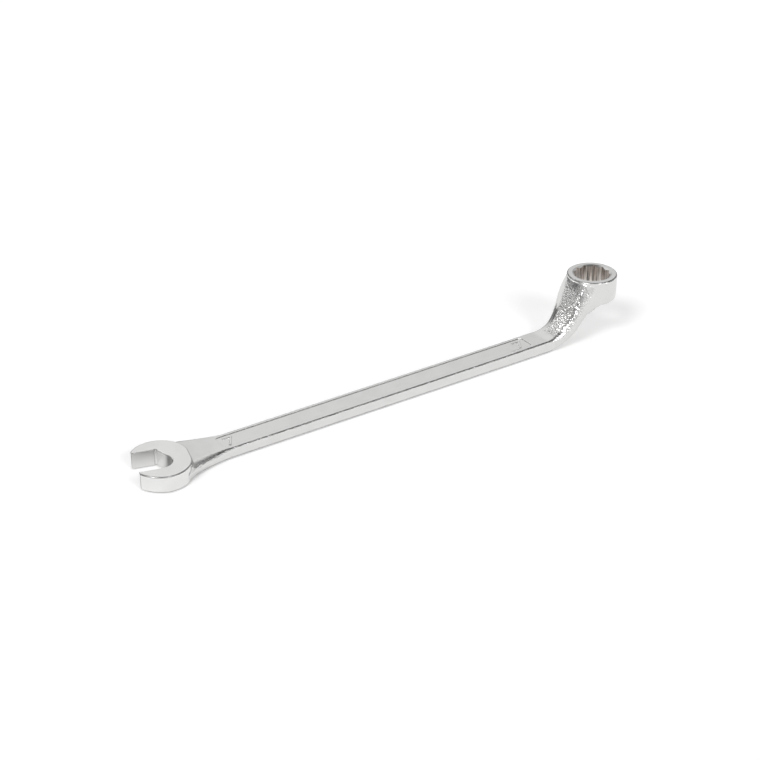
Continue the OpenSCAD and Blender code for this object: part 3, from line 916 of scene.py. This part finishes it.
class WRENCH_OT_shank(bpy.types.Operator):
    """Builds the shank with its flare and its sunk panel, as a skin over sections"""

    bl_idname = "wrench.shank"
    bl_label = "Build the shank"

    def execute(self, context):
        lay = Layout(context.scene)
        shank = lay.shank
        start = lay.flare_root - HEAD_LAP
        last = lay.heel_x - HEEL_LEAD
        # The rows lie closer where the flare meets the head.
        near_head = lay.flare_root + CLOSE_LENGTH
        close, wide = round((near_head - start) / CLOSE_ROWS), round((last - near_head) / WIDE_ROWS)
        places = [blend(start, near_head, i / close) for i in range(close)]
        places += [blend(near_head, last, i / wide) for i in range(wide + 1)]
        bm, _ = loft([lay.shank_section(x) for x in places])
        self.fillet(bm, lay)
        finish = lay.finish
        fade_in = [start + gap for gap in SHANK_START_GRAIN]

        def weigh(vert):
            # The rounded edges keep the forging's grain, and the flats and sides are ground.
            up = abs(vert.normal.z)
            rounding = fade(up, *EDGE_GRAIN_LOW) * fade(up, *EDGE_GRAIN_HIGH)
            ends = fade(vert.co.x, *fade_in) * fade(vert.co.x, last, last - SHANK_END_GRAIN)
            flare = fade(vert.co.x, lay.shank_x, lay.flare_root + FLARE_FULL_GRAIN)
            wall = fade((vert.co - lay.near_centre).xy.length - lay.jaw.cheek_radius, *HEAD_WALL_GRAIN)
            return rounding * ends * wall * blend(finish.edge_grain, finish.flare_grain, flare)

        forge_grain(bm, finish.hammer_grain, finish.hammer_depth, weigh)
        piece = new_piece("sunk_shank", bm, satin_chrome(lay))
        cut_away(piece, self.panel(lay))

        def edge_weight(edge, angle):
            middle = (edge.verts[0].co + edge.verts[1].co) / 2
            beside = abs(middle.y + shank.offset) < shank.width / 2
            along = shank.panel_start - MM < middle.x < lay.panel_last + MM
            on_top = middle.z > lay.top_z(middle.x) - TOP_MARGIN
            return 1.0 if beside and along and on_top and angle > PANEL_TURN else 0.0

        edge_weights(piece, edge_weight)
        # The lower roundings and the near upper rounding get the unground skin, whose dark colour also
        # paints the dark edge lines of reflected shade.
        give_material(piece, forged_skin(lay), self.on_rounding)
        round_edges(piece, PANEL_EDGE, 2)
        finish_piece(piece, ["shank"], sharp=55)
        return {"FINISHED"}

    @staticmethod
    def on_rounding(place, normal):
        """True on the lower roundings, and on the upper one of the near side."""
        near = NEAR_ROUNDING[0] < normal.z < NEAR_ROUNDING[1] and place.y < 0 and abs(normal.y) > UPRIGHT
        return on_lower_rounding(place, normal) or near

    @staticmethod
    def fillet(bm, lay):
        """Draws the flare's skin upwards along the head's wall as it nears the head."""
        jaw, shank = lay.jaw, lay.shank
        bm.normal_update()
        moves = []
        for vert in bm.verts:
            if vert.co.x > lay.shank_x or vert.normal.z < FILLET_FOOT[0]:
                continue
            own = lay.turn.inverted() @ vert.co
            side = min(max(own.y, -lay.cheek_side), lay.cheek_side)
            away = Vector((own.x + lay.cheek_back, own.y - side, 0))
            gap = away.length - jaw.cheek_radius
            away = (lay.turn.to_3x3() @ away).normalized()
            # The near side has the larger fillet. The far side has only the small one, up from its top.
            beside = fade(vert.normal.z, *FILLET_TOP) * fade(vert.normal.z, *FILLET_FOOT)
            beside *= fade(vert.co.y, *FILLET_NEAR)
            rise = fillet_rise(gap, shank.side_fillet) * beside
            rise = max(rise, fillet_rise(gap, shank.fillet) * max(vert.normal.z, 0))
            move = along_wall(vert, away) * rise
            move.z = min(max(move.z, 0), max(jaw.thickness - jaw.edge - vert.co.z, 0))
            moves.append((vert, move))
        for vert, move in moves:
            vert.co += move

    @staticmethod
    def panel(lay):
        """The sunk panel's shape: a long flat bar with rounded corners, laid on the shank's slope."""
        shank = lay.shank
        length, width = lay.panel_last - shank.panel_start, shank.width - 2 * shank.panel_rim
        bm = bmesh.new()
        bmesh.ops.create_grid(bm, x_segments=1, y_segments=1, size=0.5)
        bmesh.ops.scale(bm, verts=bm.verts, vec=(length, width, 1))
        bmesh.ops.translate(bm, verts=bm.verts, vec=(length / 2, -shank.offset, 0))
        rounded_off(bm, bm.verts[:], shank.panel_corner, 10, affect="VERTICES")
        bmesh.ops.delete(bm, geom=bm.faces[:], context="FACES_ONLY")
        extruded(bm, shank.panel_depth + OVER)
        place = Matrix.Translation((shank.panel_start, 0, lay.top_z(shank.panel_start)))
        lean = Matrix.Rotation(-lay.slope, 4, "Y") @ Matrix.Translation((0, 0, -shank.panel_depth))
        bmesh.ops.transform(bm, matrix=place @ lean, verts=bm.verts)
        return bm


class WRENCH_OT_neck(bpy.types.Operator):
    """Builds the neck: domed sections skinned along its bent middle line, filleted to the ring"""

    bl_idname = "wrench.neck"
    bl_label = "Build the neck"

    def execute(self, context):
        lay = Layout(context.scene)
        first, last = -HEEL_LEAD, lay.neck_path
        steps = round((last - first) / NECK_ROWS)
        bm, rows = loft([lay.neck_section(blend(first, last, i / steps)) for i in range(steps + 1)])
        self.fillet(bm, lay)
        finish = lay.finish
        bm.normal_update()
        shares = {}
        for i, row in enumerate(rows):
            path = blend(first, last, i / steps)
            x, z, lean = lay.neck_station(path)
            half_width = max(abs(v.co.y) for v in row)
            along = blend(finish.heel_grain, 1, fade(path, *NECK_FULL_GRAIN))
            along *= fade(path, *NECK_START_GRAIN)
            for vert in row:
                # The far flank, the near side's lower half and the rim below the ring are smooth.
                across = fade(vert.co.y / half_width, *NECK_SIDE_GRAIN)
                height = (vert.co.z - z) * cos(lean) - (vert.co.x - x) * sin(lean)
                above = fade(height, *NECK_HEIGHT_GRAIN)
                shares[vert] = across * above * along * fade(lay.ring_gap(vert.co), *RING_WALL_GRAIN)
        forge_grain(bm, finish.hammer_grain, finish.hammer_depth, shares.get)
        piece = new_piece("raised_neck", bm, satin_chrome(lay))
        # Up to a little past the heel the roundings get the unground skin, whose dark colour also paints
        # the dark edge lines of reflected shade.
        skin_and_shade_end = lay.heel_x + SKIN_AND_SHADE_END

        def on_skin_and_painted_shade(place, normal):
            return place.x < skin_and_shade_end and WRENCH_OT_shank.on_rounding(place, normal)

        give_material(piece, forged_skin(lay), on_skin_and_painted_shade)
        inside = (lay.ring_radius + lay.hex_corner) / 2
        cut_away(piece, drum(96, inside, 0, lay.ring_top + OVER, (lay.ring_x, 0)))
        finish_piece(piece, ["ring_neck"], sharp=80)
        return {"FINISHED"}

    @staticmethod
    def fillet(bm, lay):
        """Draws the neck's skin along the ring's wall as it nears the ring."""
        moves = []
        for vert in bm.verts:
            gap = lay.ring_gap(vert.co)
            rise = fillet_rise(gap, lay.neck.fillet)
            if rise and gap > -INSIDE_WALL:
                along = along_wall(vert, Vector((vert.co.x - lay.ring_x, vert.co.y, 0)).normalized())
                if vert.co.z > lay.level_z + lay.neck.side / 2:
                    along.z = 0
                moves.append((vert, along * rise))
        for vert, move in moves:
            vert.co += move


class WRENCH_OT_ring(bpy.types.Operator):
    """Builds the ring: a rounded drum with the 12-point socket and its two lead-ins cut out"""

    bl_idname = "wrench.ring"
    bl_label = "Build the ring"

    def execute(self, context):
        lay = Layout(context.scene)
        ring = lay.ring
        bm = drum(RING_STEPS, lay.ring_radius, lay.ring_bottom, lay.ring_top, (lay.ring_x, 0))
        upper, lower = (lay.ring_top, ring.upper_edge, 6), (lay.ring_bottom, ring.lower_edge, 10)
        for level, width, steps in (upper, lower):
            rim = [e for e in bm.edges if all(abs(v.co.z - level) < MERGE for v in e.verts)]
            rounded_off(bm, rim, width, steps)
        piece = new_piece("socket_ring", bm, satin_chrome(lay))
        for shape in (self.star(lay), self.lead_in(lay, True), self.lead_in(lay, False)):
            cut_away(piece, shape)
        socket_gap = lay.hex_corner - lay.ring_radius
        rim_gap = -RIM_WIDTH * ring.upper_edge

        def in_socket(place, normal):
            return lay.ring_gap(place) < socket_gap and abs(normal.z) < UPRIGHT

        def on_rim(place, normal):
            return RIM_ROUNDING[0] < normal.z < RIM_ROUNDING[1] and lay.ring_gap(place) > rim_gap

        give_material(piece, once("broached_socket", broached_steel, lay), in_socket)
        # The rim's rounding gets the unground skin, whose dark colour also paints a dark line of reflected
        # shade.
        give_material(piece, forged_skin(lay), on_rim)
        finish_piece(piece, ["ring_end"], sharp=12)
        return {"FINISHED"}

    @staticmethod
    def star(lay):
        """A star of 12 points: every second one of 24 is drawn in to where two hexagons cross."""
        bm = bmesh.new()
        verts = bmesh.ops.create_circle(bm, segments=24, radius=lay.hex_corner)["verts"]
        crossing = lay.jaw.gap / 2 / cos(radians(15)) / lay.hex_corner
        for vert in verts[::2]:
            vert.co *= crossing
        extruded(bm, lay.ring_top - lay.ring_bottom + 2 * OVER)
        bmesh.ops.translate(bm, verts=bm.verts, vec=(lay.ring_x, 0, lay.ring_bottom - OVER))
        return bm

    @staticmethod
    def lead_in(lay, upper):
        """A cone that opens outwards, and runs past the ring's face so that it cuts cleanly."""
        narrow, wide = lay.jaw.gap / 2, lay.hex_corner + lay.ring.lead_in_flare
        past = 0.25  # part of the lead-in's depth that the cone runs past the face
        wide += (wide - narrow) * past
        depth = lay.ring.lead_in * (1 + past)
        if upper:
            edge = lay.ring_top - lay.ring.lead_in
            return drum(RING_STEPS, narrow, edge, edge + depth, (lay.ring_x, 0), top_radius=wide)
        edge = lay.ring_bottom + lay.ring.lead_in
        return drum(RING_STEPS, wide, edge - depth, edge, (lay.ring_x, 0), top_radius=narrow)


class WRENCH_OT_size_marks(bpy.types.Operator):
    """Builds the two raised numerals on the panel's floor, which give the width across the flats"""

    bl_idname = "wrench.size_marks"
    bl_label = "Build the size numerals"

    def execute(self, context):
        lay = Layout(context.scene)
        self.seven(lay, "size_mark_ring", lay.panel_last - lay.marks.ring_inset)
        self.seven(lay, "size_mark_jaw", lay.shank.panel_start + lay.marks.jaw_inset)
        return {"FINISHED"}

    @staticmethod
    def seven(lay, name, x):
        """A 7 from seven points, raised and softly rounded."""
        marks = lay.marks
        high, half, w = marks.height / 2, marks.width / 2, marks.stroke
        bm = bmesh.new()
        bar = ((-half, high - w), (-half, high), (half, high), (half, high - 0.8 * w))
        leg = ((1.25 * w - half, -high), (-half, -high), (half - 1.35 * w, high - w))
        verts = [bm.verts.new((*point, 0)) for point in bar[1:] + leg + bar[:1]]
        for a, b in zip(verts, verts[1:] + verts[:1]):
            bm.edges.new((a, b))
        extruded(bm, marks.relief)
        top = [e for e in bm.edges if all(v.co.z > marks.relief / 2 for v in e.verts)]
        rounded_off(bm, top, 0.3 * w, 4)
        floor = lay.top_z(x) - lay.shank.panel_depth
        place = Matrix.Translation((x, -marks.side_inset - lay.shank.offset, floor))
        bmesh.ops.transform(bm, matrix=place @ Matrix.Rotation(-lay.slope, 4, "Y"), verts=bm.verts)
        finish_piece(new_piece(name, bm, satin_chrome(lay)), [])


# ---------------------------------------------------------------- stage

FORWARD = Vector((0.5624, 0.8269, 0))  # the camera's heading on the floor
RIGHTWARD = Vector((0.8269, -0.5624, 0))
CAMERA_PLACE = Vector((-0.1274, -0.2649, 0.1786))
CAMERA_AIM = Vector((0.05753, 0.00707, 0))
FLOOR_RADIUS = 2.5
FLOOR_GLOW = 0.2  # strength of the floor's glow for the camera
GLOSSY_GLOW = 0.25  # part of that glow that reflections see
LEFT_LAMP = (-146, 44)  # azimuth and elevation in degrees
RIGHT_LAMP = (142, 34)
LAMP_ANGLE = 22  # how far a lamp stretches across the sky, in degrees


def heading(azimuth, elevation):
    """A direction from two angles in degrees. Azimuth 0 leads away from the camera, 90 to its right."""
    a, e = radians(azimuth), radians(elevation)
    return cos(e) * (cos(a) * FORWARD + sin(a) * RIGHTWARD) + Vector((0, 0, sin(e)))


class WRENCH_OT_stage(bpy.types.Operator):
    """Sets the floor, the white walls with their windows and dark gaps, the lamps and the camera"""

    bl_idname = "wrench.stage"
    bl_label = "Set the stage"

    def execute(self, context):
        stage = context.scene.wrench_stage
        self.floor(stage)
        self.walls(context.scene, stage)
        self.lamp("left_lamp", heading(*LEFT_LAMP), stage.left_lamp)
        self.lamp("right_lamp", heading(*RIGHT_LAMP), stage.right_lamp)
        self.camera(context.scene, stage)
        context.scene.view_settings.view_transform = "Standard"
        return {"FINISHED"}

    @staticmethod
    def floor(stage):
        """A disc that keeps the shadow, and glows a little for the camera and in reflections."""
        bm = bmesh.new()
        bmesh.ops.create_circle(bm, cap_ends=True, segments=64, radius=FLOOR_RADIUS)
        bmesh.ops.translate(bm, verts=bm.verts, vec=(0, 0, -stage.floor_gap))
        material = bpy.data.materials.new("white_floor")
        s = Shading(material)
        diffuse = s.node("ShaderNodeBsdfDiffuse", {"Color": rgba(stage.floor_colour)}).outputs[0]
        path = s.node("ShaderNodeLightPath").outputs
        seen = s.math("MULTIPLY_ADD", path["Is Glossy Ray"], GLOSSY_GLOW, path["Is Camera Ray"])
        glow = s.node("ShaderNodeEmission", {"Strength": s.math("MULTIPLY", seen, FLOOR_GLOW)}).outputs[0]
        surface = s.node("ShaderNodeAddShader", {0: diffuse, 1: glow}).outputs[0]
        s.node("ShaderNodeOutputMaterial", {"Surface": surface})
        new_piece("floor", bm, material)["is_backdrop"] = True

    @staticmethod
    def walls(scene, stage):
        """White walls all round, with brighter windows, and dark gaps that draw lines on the edges."""
        scene.world = bpy.data.worlds.new("white_walls")
        s = Shading(scene.world)
        way = s.node("ShaderNodeTexCoord").outputs["Generated"]

        def patch(azimuth, elevation, core, rim, outer, inner):
            """One value in a round patch and another outside it. The angles are in degrees."""
            towards = s.dot(way, tuple(heading(azimuth, elevation)))
            return s.smooth(towards, cos(radians(rim)), cos(radians(core)), outer, inner)

        level = stage.walls
        for *place, strength in (
            (-6, 52, 12, 46, stage.screen),
            (-66, 42, 4, 8, stage.high_window),
            (-95, 62, 3, 9, stage.high_window * 0.4),
            (118, 9, 3, 9, stage.low_window),
            (178, 34, 6, 26, stage.rear_window),
            (150, 18, 6, 28, stage.side_window),
        ):
            level = s.math("MULTIPLY_ADD", patch(*place, 0.0, 1.0), strength, level)
        for *place, depth in (
            (106, 42, 12, 22, 0.95),
            (88, 8, 4, 12, 0.6),
            (-48, 2, 10, 28, 0.7),
            (0, 88, 10, 30, 0.75),
            (-108, 8, 7, 20, 0.72),
            (-82, 22, 5, 17, 0.35),
        ):
            level = s.math("MULTIPLY", level, patch(*place, 1.0, 1.0 - depth))
        background = s.node("ShaderNodeBackground", {"Strength": level})
        s.node("ShaderNodeOutputWorld", {"Surface": background.outputs[0]})

    @staticmethod
    def lamp(name, towards, strength):
        """A large soft lamp, far enough away to light the whole floor alike."""
        data = bpy.data.lights.new(name, "SUN")
        data.angle = radians(LAMP_ANGLE)
        data.energy = strength
        lamp = new_object(name, data)
        lamp.location = towards
        lamp.rotation_euler = (-towards).to_track_quat("-Z", "Y").to_euler()

    @staticmethod
    def camera(scene, stage):
        data = bpy.data.cameras.new("camera")
        data.lens = stage.lens
        data.sensor_width = 36
        data.clip_start = 0.01
        camera = new_object("camera", data)
        camera.location = CAMERA_PLACE
        camera.rotation_euler = (CAMERA_AIM - CAMERA_PLACE).to_track_quat("-Z", "Y").to_euler()
        scene.camera = camera


# ---------------------------------------------------------------- the add-on

OPERATORS = (
    WRENCH_OT_jaw_head,
    WRENCH_OT_shank,
    WRENCH_OT_neck,
    WRENCH_OT_ring,
    WRENCH_OT_size_marks,
    WRENCH_OT_stage,
)


class WRENCH_PT_panel(bpy.types.Panel):
    """Lists the wrench's sizes and the steps that build it"""

    bl_label = "Combination wrench"
    bl_idname = "WRENCH_PT_panel"
    bl_space_type = "VIEW_3D"
    bl_region_type = "UI"
    bl_category = "Wrench"

    def draw(self, context):
        for operator in OPERATORS:
            self.layout.operator(operator.bl_idname)
        for name, group in GROUPS.items():
            box = self.layout.box()
            box.label(text=group.__name__)
            for prop in group.__annotations__:
                box.prop(getattr(context.scene, name), prop)


def register():
    for group in GROUPS.values():
        bpy.utils.register_class(group)
    for name, group in GROUPS.items():
        setattr(bpy.types.Scene, name, PointerProperty(type=group))
    for operator in OPERATORS:
        bpy.utils.register_class(operator)
    bpy.utils.register_class(WRENCH_PT_panel)


def unregister():
    bpy.utils.unregister_class(WRENCH_PT_panel)
    for operator in reversed(OPERATORS):
        bpy.utils.unregister_class(operator)
    for name, group in reversed(GROUPS.items()):
        delattr(bpy.types.Scene, name)
        bpy.utils.unregister_class(group)


def main():
    register()
    bpy.ops.wrench.jaw_head()
    bpy.ops.wrench.shank()
    bpy.ops.wrench.neck()
    bpy.ops.wrench.ring()
    bpy.ops.wrench.size_marks()
    bpy.ops.wrench.stage()
    corners = {"cad": CAD_BOUNDS, "visual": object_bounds()}
    plain = {name: [list(map(float, corner)) for corner in pair] for name, pair in corners.items()}


if __name__ == "__main__":
    main()
